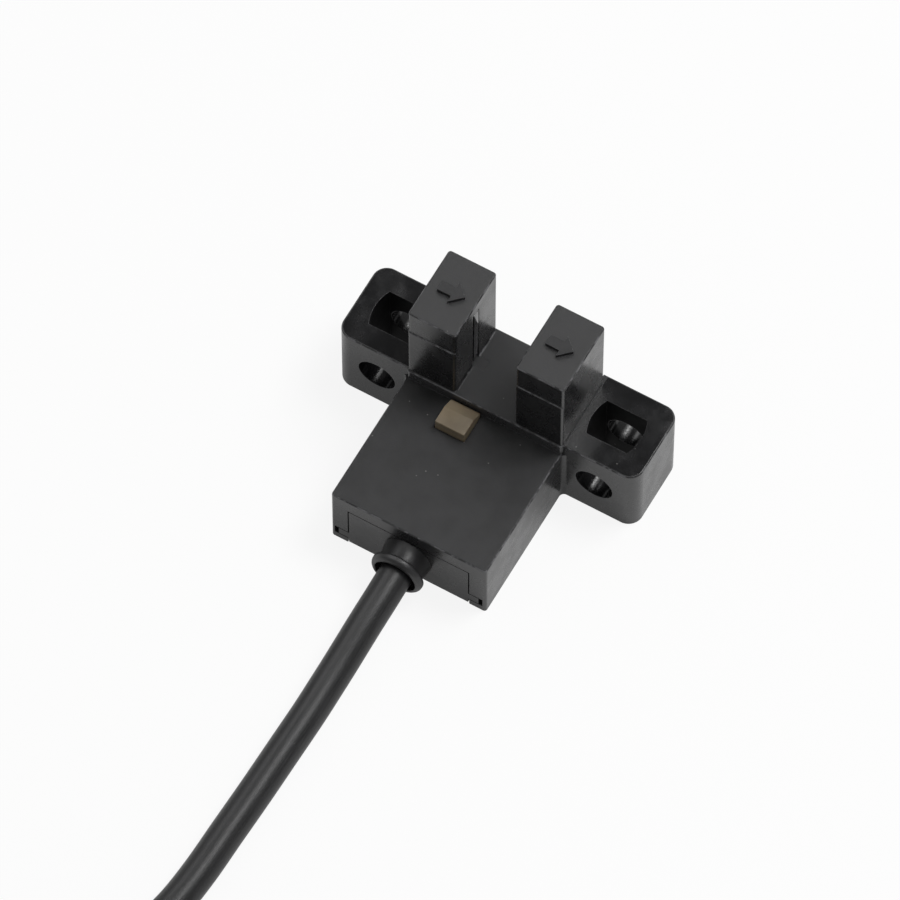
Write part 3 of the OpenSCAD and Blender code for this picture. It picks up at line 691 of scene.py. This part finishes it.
def inner_finishes():
    """Pairs of node names and the finish that they share."""
    clear = plain_plastic(
        "clear_resin", (0.5, 0.55, 0.62), 0.2, ior=1.52, **{"Transmission Weight": 0.6})
    resin = plain_plastic("chip_resin", (0.02, 0.02, 0.021), 0.5, grain_size=0.1)
    tinned = bare_metal("tinned_metal", (0.75, 0.74, 0.7), 0.25)
    insulated = [([node.replace("lead", "core")],
                  plain_plastic(node.replace("lead", "inner"), colour, 0.4))
                 for node, slot, colour in CORES]
    return insulated + [
        (["emitter_led"], clear),
        (["receiver_chip", "amplifier_chip", "output_transistor", "surge_diode"], resin),
        (["emitter_leads", "receiver_leads", "chip_legs"], tinned),
        (["circuit_board"], plain_plastic("board", (0.02, 0.11, 0.05), 0.4, grain_size=0.4)),
        (["solder_joints"], bare_metal("solder", (0.7, 0.7, 0.72), 0.3)),
        (["indicator_lamp"], plain_plastic("lamp", (0.8, 0.76, 0.6), 0.3)),
        (["chip_resistors"], plain_plastic("resistor", (0.03, 0.03, 0.035), 0.35)),
        (["bypass_capacitor"], plain_plastic("capacitor", (0.35, 0.22, 0.12), 0.45)),
        (["cable_inner_end"], plain_plastic("inner_jacket", (0.011, 0.011, 0.012), 0.4)),
        (["cable_clamp"], bare_metal("clamp_metal", (0.6, 0.6, 0.6), 0.3)),
    ]


def finish_node(node, material):
    """Puts a material in place of those of a CAD node, whose mesh stays as it is."""
    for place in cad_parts[node].material_slots:
        place.material = material


# Shapes


def smooth_run(points):
    """Catmull Rom curve through a list of points but the last, as whole arrays:
    0.5 * (2b + (c - a) t + (2a - 5b + 4c - d) t^2 + (3b - a - 3c + d) t^3)."""
    p = np.asarray(points, float)
    p = np.concatenate([2 * p[:1] - p[1:2], p])
    a, b, c, d = p[:-3, None], p[1:-2, None], p[2:-1, None], p[3:, None]
    t = np.linspace(0, 1, RUN_STEPS, endpoint=False)[None, :, None]
    square, cube = 2 * a - 5 * b + 4 * c - d, 3 * b - a - 3 * c + d
    curve = 0.5 * (2 * b + (c - a) * t + square * t**2 + cube * t**3)
    return curve.reshape(-1, 3)


def ease(t):
    """Goes from 0 to 1 with level ends: t^2 (3 - 2t)."""
    t = np.clip(t, 0, 1)
    return t * t * (3 - 2 * t)


def coil_line(shift, lift):
    """Middle of the wound cable. It turns anticlockwise from the coil's left side.
    radius and height = those of the turn's place, plus an eased step to the next place over
    the angle shift. Places lie a diameter apart, three beside each other and three on each
    other, and the end lies on top. A step in a new direction starts earlier than the one
    before it, so that turns don't pass through each other."""
    d = 2 * CABLE_R
    radii = COIL_OUT - CABLE_R - d * np.array([0, 1, 2, 2, 1, 0, 0, 1, 2, 1])
    levels = CABLE_R + d * np.array([0, 0, 0, 1, 1, 1, 2, 2, 2, 3])
    group = np.array([0, 0, 1, 2, 2, 3, 4, 4, 5])
    start = 360 * np.arange(9) + 348 - shift - 0.6 * shift * group
    turn = np.arange(0, 9 * 360 + 90 + 0.01, 3.6)
    step = ease((turn[:, None] - start[None, :]) / shift)
    radius = radii[0] + step[:, :-1] @ np.diff(radii)[:-1]
    height = levels[0] + step[:, :-1] @ np.diff(levels)[:-1]
    over = step[:, -1] * np.pi / 2
    radius = radius + d * (1 - np.cos(over))
    height = height + d * np.sin(over)
    angle = np.radians(180 + turn)
    from_tie = np.abs(np.mod(np.degrees(angle) + 180, 360) - 180)
    height = height + lift * ease((30 - from_tie) / 20)
    return np.stack([COIL_X + radius * np.cos(angle), COIL_Y + radius * np.sin(angle), height], 1)


def add_run_map(piece, line, sides):
    """UV map of a tube: u runs once round it and back, v is the way along it in millimetres."""
    way = np.concatenate([[0], np.cumsum(np.linalg.norm(np.diff(line, axis=0), axis=1))])
    layer = piece.data.uv_layers.new(name="along")
    corner = np.empty(len(piece.data.loops), int)
    piece.data.loops.foreach_get("vertex_index", corner)
    u = np.abs(2 * ((corner % sides) / sides) - 1)
    v = way[np.minimum(corner // sides, len(line) - 1)]
    layer.data.foreach_set("uv", np.stack([u, v], 1).ravel())


def window_shell():
    """Light guide: a rounded prism along X over the outline of its side, which slopes at the
    back, on a flat foot inside the housing."""
    low, high = WINDOW_LOW, WINDOW_HIGH
    front, back, top = low[1] + GUIDE_FOOT_L, high[1] - GUIDE_BACK, high[2]
    side = [(front, low[2]), (back, low[2]), (back, top - GUIDE_SLOPE_H),
            (back - GUIDE_SLOPE_L, top), (front, top)]
    left, right = low[0] + GUIDE_FOOT_L, high[0] - GUIDE_FOOT_L
    points, faces = rounded_prism(side, 0.09, left, right, edge=0.07)
    foot = rounded_prism(box_corners(low[:2], high[:2]), 0.1,
                         DECK_UNDER - GUIDE_FOOT_H, DECK_UNDER, edge=0.03)
    return joined((points[:, [2, 0, 1]], faces), foot)


def pane_shell(node):
    """Light pane: a rib in the arm's slit, with a gap on its cable side and above it, and its
    plate inside. Both are rounded prisms that stand upright."""
    low, high = box_mm(node)
    side = np.sign(low[0] + high[0])
    near = side * min(abs(low[0]), abs(high[0]))
    far = side * max(abs(low[0]), abs(high[0]))
    plate = sorted([far, far - side * PANE_T])
    rib = sorted([far - side * PANE_T / 2, near - side * (SLIT_DEPTH - PANE_BEHIND)])
    rib_y = (BEAM_Y - SLIT_W / 2 + PANE_GAP, BEAM_Y + SLIT_W / 2 - HAIR)
    plate_corners = box_corners((plate[0], low[1]), (plate[1], high[1]))
    rib_corners = box_corners((rib[0], rib_y[0]), (rib[1], rib_y[1]))
    return joined(
        rounded_prism(plate_corners, 0.04, low[2], high[2], edge=0.03),
        rounded_prism(rib_corners, 0.03, low[2] + HAIR, SLIT_TOP - PANE_GAP, edge=0.03))


def turned_shell(profile, middle_x, middle_z, steps=72):
    """Closed profile of (radius, y) points turned round the cable's line:
    point(k, a) = (middle x + r_k cos a, y_k, middle z + r_k sin a)."""
    profile = np.asarray(profile, float)
    angle = np.linspace(0, 2 * np.pi, steps, endpoint=False)[:, None]
    x = middle_x + profile[None, :, 0] * np.cos(angle)
    z = middle_z + profile[None, :, 0] * np.sin(angle)
    y = np.broadcast_to(profile[None, :, 1], x.shape)
    points = np.stack([x, y, z], -1).reshape(-1, 3)
    return points, grid_faces(steps, len(profile), close_rows=True)


def arc_points(centre, radius, first, last, steps):
    """Points of an arc from one angle to another, in degrees."""
    angle = np.radians(np.linspace(first, last, steps))
    return np.stack([centre[0] + radius * np.cos(angle), centre[1] + radius * np.sin(angle)], 1)


def bushing_shell():
    """Cable bushing, turned: flange inside, flared neck, collar with a rounded front edge,
    and open mouth. The profile is a list of (radius, y) points."""
    y_front, y_back = BUSHING_LOW[1], BUSHING_HIGH[1]
    y_collar, y_mouth, y_flange = y_front + COLLAR_T, y_front + MOUTH_DEPTH, y_back - FLANGE_T
    y_wall = HOUSING_BODY_Y - HAIR
    outer = (BUSHING_HIGH[0] - BUSHING_LOW[0]) / 2
    bore, flange_r = CABLE_R + HAIR, NECK_R + FLANGE_STEP
    fillet, front, edge = NECK_FILLET, COLLAR_FRONT_R, COLLAR_EDGE_R
    profile = np.concatenate([
        [(bore, y_back), (flange_r, y_back), (flange_r, y_flange), (NECK_R, y_flange)],
        [(NECK_R, y_wall), (NECK_R + NECK_FLARE, y_wall)],
        arc_points((NECK_R + fillet, y_collar + fillet), fillet, 180, 270, 4),
        arc_points((outer - edge, y_collar - edge), edge, 90, 0, 4),
        arc_points((outer - front, y_front + front), front, 0, -90, 6),
        arc_points((MOUTH_R + edge, y_front + edge), edge, 270, 180, 4),
        [(MOUTH_R, y_mouth), (bore, y_mouth)],
    ])
    middle = (BUSHING_LOW + BUSHING_HIGH) / 2
    return turned_shell(profile, middle[0], middle[2])


def band_shell(low, high, corner, thickness, width, y_middle):
    """Closed strap in the XZ plane: a rounded rectangle section carried round a rounded
    rectangle. point(s, k) = arc centre(s) + (corner - thickness / 2 + section height(k))
    * direction(s), moved along y by the section's width(k)."""
    centre, direction = rounded_outline(box_corners(low, high), corner, 8)
    half_t, half_w, soft = thickness / 2, width / 2, thickness * 0.3
    section_centre, section_direction = rounded_outline(
        box_corners((-half_w, -half_t), (half_w, half_t)), soft, 4)
    section = section_centre + soft * section_direction
    reach = corner - half_t + section[None, :, 1:]
    flat = centre[:, None, :] + reach * direction[:, None, :]
    y = np.broadcast_to(y_middle + section[None, :, :1], flat.shape[:2] + (1,))
    points = np.concatenate([flat[..., :1], y, flat[..., 1:]], -1).reshape(-1, 3)
    return points, grid_faces(len(centre), len(section), close_rows=True)


def tie_shell():
    """Cable tie: a strap round the coil's section, and its head on top, a rounded prism."""
    low, high = TIE_LOW, TIE_HIGH
    head_half = (high[1] - low[1]) / 2
    head_left = low[0] + (high[0] - low[0] - HEAD_L) / 2
    strap_top = high[2] - HEAD_H
    strap = band_shell((low[0], low[2]), (high[0], strap_top), STRAP_CORNER_R, TIE_T,
                       2 * head_half - STRAP_NARROWER, COIL_Y)
    corners = box_corners((head_left, COIL_Y - head_half), (head_left + HEAD_L, COIL_Y + head_half))
    return joined(strap, rounded_prism(corners, 0.5, strap_top - 0.05, high[2], edge=0.22))


def lead_lines(name):
    """Middle of a core's insulated part and of its bare end.
    x runs on from the cable's end, y spreads with the square of the way, and z sinks with it."""
    low, high = box_mm(name)
    start = np.array([low[0], (low[1] + high[1]) / 2, (low[2] + high[2]) / 2])
    side = np.sign(start[1] - (COIL_Y - COIL_OUT + 3 * CABLE_R))
    way = np.linspace(0, 1, 40)
    reach = high[0] - low[0] - 0.3
    x = start[0] + reach * way
    y = start[1] + side * LEAD_SPREAD * way**2
    z = start[2] - LEAD_SINK * way**2
    line = np.stack([x, y, z], 1)
    split = int(round(len(way) * FREE_CORE_L / (FREE_CORE_L + FREE_TIP_L)))
    return line[:split + 1], line[split - 1:]


def strand_shells(line, radius, wound=6, twists=2.5, steps=48):
    """Bare end: one strand in the middle and six wound round it, each a thin tube.
    A wound one's middle is a helix: line(t) + 2 thin * (0, cos a, sin a), a = 2 pi twists t."""
    t = np.linspace(0, 1, steps)
    where = np.linspace(0, len(line) - 1, steps)
    index = np.minimum(where.astype(int), len(line) - 2)
    part = (where - index)[:, None]
    middle = line[index] * (1 - part) + line[index + 1] * part
    thin = radius / 3
    shells = [tube(middle, thin, 8)]
    for k in range(wound):
        angle = 2 * np.pi * (twists * t + k / wound)
        around = np.stack([0 * t, np.cos(angle), np.sin(angle)], 1)
        shells.append(tube(middle + 2 * thin * around, thin, 8))
    return shells


# Studio


def make_camera(stage):
    """Camera at the photograph's angle and distance, whose lens gives the photograph's scale."""
    a, e = stage.azimuth, stage.elevation
    back = Vector((math.sin(a) * math.cos(e), -math.cos(a) * math.cos(e), math.sin(e)))
    camera = bpy.data.objects.new("camera", bpy.data.cameras.new("camera"))
    camera.data.sensor_width = LENS_SENSOR_W
    camera.data.lens = LENS_SENSOR_W * FOCAL_PX / PICTURE_PX
    camera.location = Vector(CAMERA_PLACE) * MM
    camera.rotation_mode = "QUATERNION"
    camera.rotation_quaternion = (-back).to_track_quat("-Z", "Y")
    camera.data.clip_start = 0.01
    camera.data.clip_end = 20
    bpy.context.scene.collection.objects.link(camera)
    bpy.context.scene.camera = camera


def seen_and_mirrored(make):
    """Two masks: 1 for what is seen directly or through glass, and 1 for what is mirrored."""
    path = make("ShaderNodeLightPath").outputs
    seen = make.math("MAXIMUM", path["Is Camera Ray"], path["Is Transmission Ray"])
    return seen, path["Is Glossy Ray"]


def make_floor():
    """Pale floor that keeps the sensor's soft shadow: part plain matte, part its own white."""
    points = [(x, y, -HAIR) for x, y in box_corners((-FLOOR_REACH,) * 2, (FLOOR_REACH,) * 2)]
    floor = new_piece("floor", points, [(0, 1, 2, 3)])
    material = bpy.data.materials.new("studio_floor")
    material.use_nodes = True
    material.node_tree.nodes.clear()
    make = Nodes(material.node_tree)
    matte = make("ShaderNodeBsdfDiffuse", {"Color": (0.9, 0.9, 0.9, 1)}).outputs[0]
    white = make("ShaderNodeEmission", {"Color": (1, 1, 1, 1), "Strength": 1.0}).outputs[0]
    seen, mirrored = seen_and_mirrored(make)
    share = make.math("MAXIMUM", make.times(seen, FLOOR_SEEN), make.times(mirrored, FLOOR_MIRRORED))
    surface = make("ShaderNodeMixShader", {0: share, 1: matte, 2: white}).outputs[0]
    make("ShaderNodeOutputMaterial", {"Surface": surface})
    floor.data.materials.append(material)


def make_lamp(stage):
    """A soft box above, behind the sensor's right side. It lights matte surfaces only: what the
    sensor mirrors is the room."""
    lamp = bpy.data.objects.new("soft_box", bpy.data.lights.new("soft_box", "AREA"))
    lamp.data.shape = "RECTANGLE"
    lamp.data.size = SOFT_BOX_SIDE
    lamp.data.size_y = SOFT_BOX_SIDE
    lamp.data.energy = stage.soft_box
    lamp.location = SOFT_BOX_PLACE
    lamp.rotation_mode = "QUATERNION"
    lamp.rotation_quaternion = Vector(lamp.location).to_track_quat("Z", "Y")
    lamp.visible_camera = False
    lamp.visible_glossy = False
    bpy.context.scene.collection.objects.link(lamp)


def towards(make, way, middle, outer, inner, outside, inside):
    """One value outside a round patch of the room, another inside it, with a soft rim between
    two angles in degrees."""
    limits = [math.cos(math.radians(angle)) for angle in (outer, inner)]
    return make.fade(make.alike(way, Vector(middle).normalized()), *limits, outside, inside)


def make_room(stage):
    """World: white where it is seen, and an even light for matte surfaces. Reflections show grey
    walls, a bright ceiling behind the sensor with a dim patch in it, and a small lamp beside the
    patch."""
    world = bpy.data.worlds.new("room")
    world.use_nodes = True
    world.node_tree.nodes.clear()
    make = Nodes(world.node_tree)
    way = make("ShaderNodeTexCoord").outputs["Generated"]
    x, y, z = make.parts(way)
    ceiling = make.times(make.fade(z, 0.5, 0.66), make.fade(x, 0.4, 0.62, 1.0, 0.0),
                         make.fade(y, -0.25, 0.05), CEILING_LEVEL)
    level = make.math("ADD", ceiling, WALL_LEVEL)
    level = make.times(level, towards(make, way, PATCH_WAY, 18, 11, 1.0, PATCH_SHARE))
    level = make.math("ADD", level, towards(make, way, LAMP_WAY, 7, 5, 0.0, LAMP_LEVEL))
    seen, mirrored = seen_and_mirrored(make)
    strength = make.between(seen, make.between(mirrored, stage.room, level), 1.0)
    light = make("ShaderNodeBackground", {"Color": (1, 1, 1, 1), "Strength": strength})
    make("ShaderNodeOutputWorld", {"Surface": light.outputs[0]})
    bpy.context.scene.world = world


# Operators


class SENSOR_OT_stage(bpy.types.Operator):
    """Make the camera, the pale floor, the soft lamp and the room's light"""

    bl_idname = "sensor.stage"
    bl_label = "Stage"

    def execute(self, context):
        stage = context.scene.sensor_stage
        make_camera(stage)
        make_floor()
        make_lamp(stage)
        make_room(stage)
        context.scene.view_settings.view_transform = "Standard"
        return {"FINISHED"}


class SENSOR_OT_tie(bpy.types.Operator):
    """Make the tie that holds the coil"""

    bl_idname = "sensor.tie"
    bl_label = "Coil tie"

    def execute(self, context):
        material = plain_plastic("tie_plastic", (0.014, 0.014, 0.015), 0.38)
        seat(new_piece("coil_tie_strap", *tie_shell()), material, "tie_plastic", "coil_tie")
        return {"FINISHED"}


class SENSOR_OT_leads(bpy.types.Operator):
    """Make the four insulated cores at the cable's end, with their bare strands"""

    bl_idname = "sensor.leads"
    bl_label = "Bare ended cores"

    def execute(self, context):
        metal = bare_metal("tinned_strands", (0.72, 0.7, 0.66), 0.25)
        for node, slot, colour in CORES:
            material = plain_plastic(slot, colour, 0.38, grain_size=0.15)
            insulated, bare = lead_lines(node)
            core = new_piece(node + "_core", *tube(insulated, CORE_R, 20))
            seat(core, material, slot, node)
            strands = new_piece(node + "_strands", *joined(*strand_shells(bare, CORE_R * 0.62)))
            seat(strands, metal, "tinned_metal")
        return {"FINISHED"}


class SENSOR_OT_cable(bpy.types.Operator):
    """Lay the cable from the bushing to its coil, at its real length"""

    bl_idname = "sensor.cable"
    bl_label = "Cable"

    def execute(self, context):
        winding = context.scene.sensor_cable
        coil = coil_line(math.degrees(winding.shift_angle), winding.lift / MM)
        # The run ends in the coil's first points, and its last gap is straight
        run = smooth_run(RUN[:-1] + [tuple(coil[0]), tuple(coil[1])])[:-RUN_STEPS]
        line = np.concatenate([run, coil])
        cable = new_piece("cable", *tube(line, CABLE_R, winding.sides))
        add_run_map(cable, line, winding.sides)
        seat(cable, cable_finish(), "cable_jacket", "cable_run", "cable_coil", "cable_tail")
        going_along = ["coil_tie_strap"]
        for node, slot, colour in CORES:
            going_along += [node + "_core", node + "_strands"]
        return {"FINISHED"}


class SENSOR_OT_bushing(bpy.types.Operator):
    """Turn the cable bushing with its collar and open mouth"""

    bl_idname = "sensor.bushing"
    bl_label = "Cable bushing"

    def execute(self, context):
        rubber = plain_plastic(
            "bushing_rubber", (0.011, 0.011, 0.0115), 0.4, grain_size=0.15, ior=1.58)
        ring = new_piece("cable_bushing_ring", *bushing_shell())
        seat(ring, rubber, "bushing_rubber", "cable_bushing")
        return {"FINISHED"}


class SENSOR_OT_panes(bpy.types.Operator):
    """Shape the dark light panes in the arms' slits"""

    bl_idname = "sensor.panes"
    bl_label = "Light panes"

    def execute(self, context):
        material = plain_plastic("dark_pane", (0.006, 0.0055, 0.0065), 0.06, ior=2.0)
        for node in ("emitter_window", "receiver_window"):
            seat(new_piece(node + "_pane", *pane_shell(node)), material, "dark_pane", node)
        return {"FINISHED"}


class SENSOR_OT_window(bpy.types.Operator):
    """Shape the indicator's light guide"""

    bl_idname = "sensor.window"
    bl_label = "Indicator window"

    def execute(self, context):
        piece = new_piece("indicator_light_guide", *window_shell())
        seat(piece, window_finish(), "light_guide", "indicator_window")
        return {"FINISHED"}


class SENSOR_OT_housing(bpy.types.Operator):
    """Give the housing and its base cover their moulded finish"""

    bl_idname = "sensor.housing"
    bl_label = "Housing and cover"

    def execute(self, context):
        black = context.scene.sensor_finish.housing_colour
        finish_node("housing", housing_finish())
        finish_node("base_cover", plain_plastic("cover_plastic", black, 0.3, grain_size=0.16))
        return {"FINISHED"}


class SENSOR_OT_insides(bpy.types.Operator):
    """Give the pieces inside the housing their finishes"""

    bl_idname = "sensor.insides"
    bl_label = "Inner pieces"

    def execute(self, context):
        for nodes, material in inner_finishes():
            for node in nodes:
                finish_node(node, material)
        return {"FINISHED"}


class SENSOR_PT_sidebar(bpy.types.Panel):
    """Lists the sensor's pieces and their values"""

    bl_label = "Slot optical sensor"
    bl_idname = "SENSOR_PT_sidebar"
    bl_space_type = "VIEW_3D"
    bl_region_type = "UI"
    bl_category = "Sensor"

    def draw(self, context):
        scene = context.scene
        for operator in OPERATORS:
            self.layout.operator(operator.bl_idname)
        for group in (scene.sensor_finish, scene.sensor_cable, scene.sensor_stage):
            column = self.layout.column()
            for name in group.__annotations__:
                column.prop(group, name)


OPERATORS = (
    SENSOR_OT_stage, SENSOR_OT_tie, SENSOR_OT_leads, SENSOR_OT_cable, SENSOR_OT_bushing,
    SENSOR_OT_panes, SENSOR_OT_window, SENSOR_OT_housing, SENSOR_OT_insides,
)
CLASSES = (SensorFinish, SensorCable, SensorStage, *OPERATORS, SENSOR_PT_sidebar)


def register():
    for cls in CLASSES:
        bpy.utils.register_class(cls)
    bpy.types.Scene.sensor_finish = bpy.props.PointerProperty(type=SensorFinish)
    bpy.types.Scene.sensor_cable = bpy.props.PointerProperty(type=SensorCable)
    bpy.types.Scene.sensor_stage = bpy.props.PointerProperty(type=SensorStage)


def unregister():
    del bpy.types.Scene.sensor_stage
    del bpy.types.Scene.sensor_cable
    del bpy.types.Scene.sensor_finish
    for cls in reversed(CLASSES):
        bpy.utils.unregister_class(cls)


def main():
    """Makes every piece in order."""
    register()
    bpy.ops.sensor.stage()
    bpy.ops.sensor.tie()
    bpy.ops.sensor.leads()
    bpy.ops.sensor.cable()
    bpy.ops.sensor.bushing()
    bpy.ops.sensor.panes()
    bpy.ops.sensor.window()
    bpy.ops.sensor.housing()
    bpy.ops.sensor.insides()


if __name__ == "__main__":
    main()
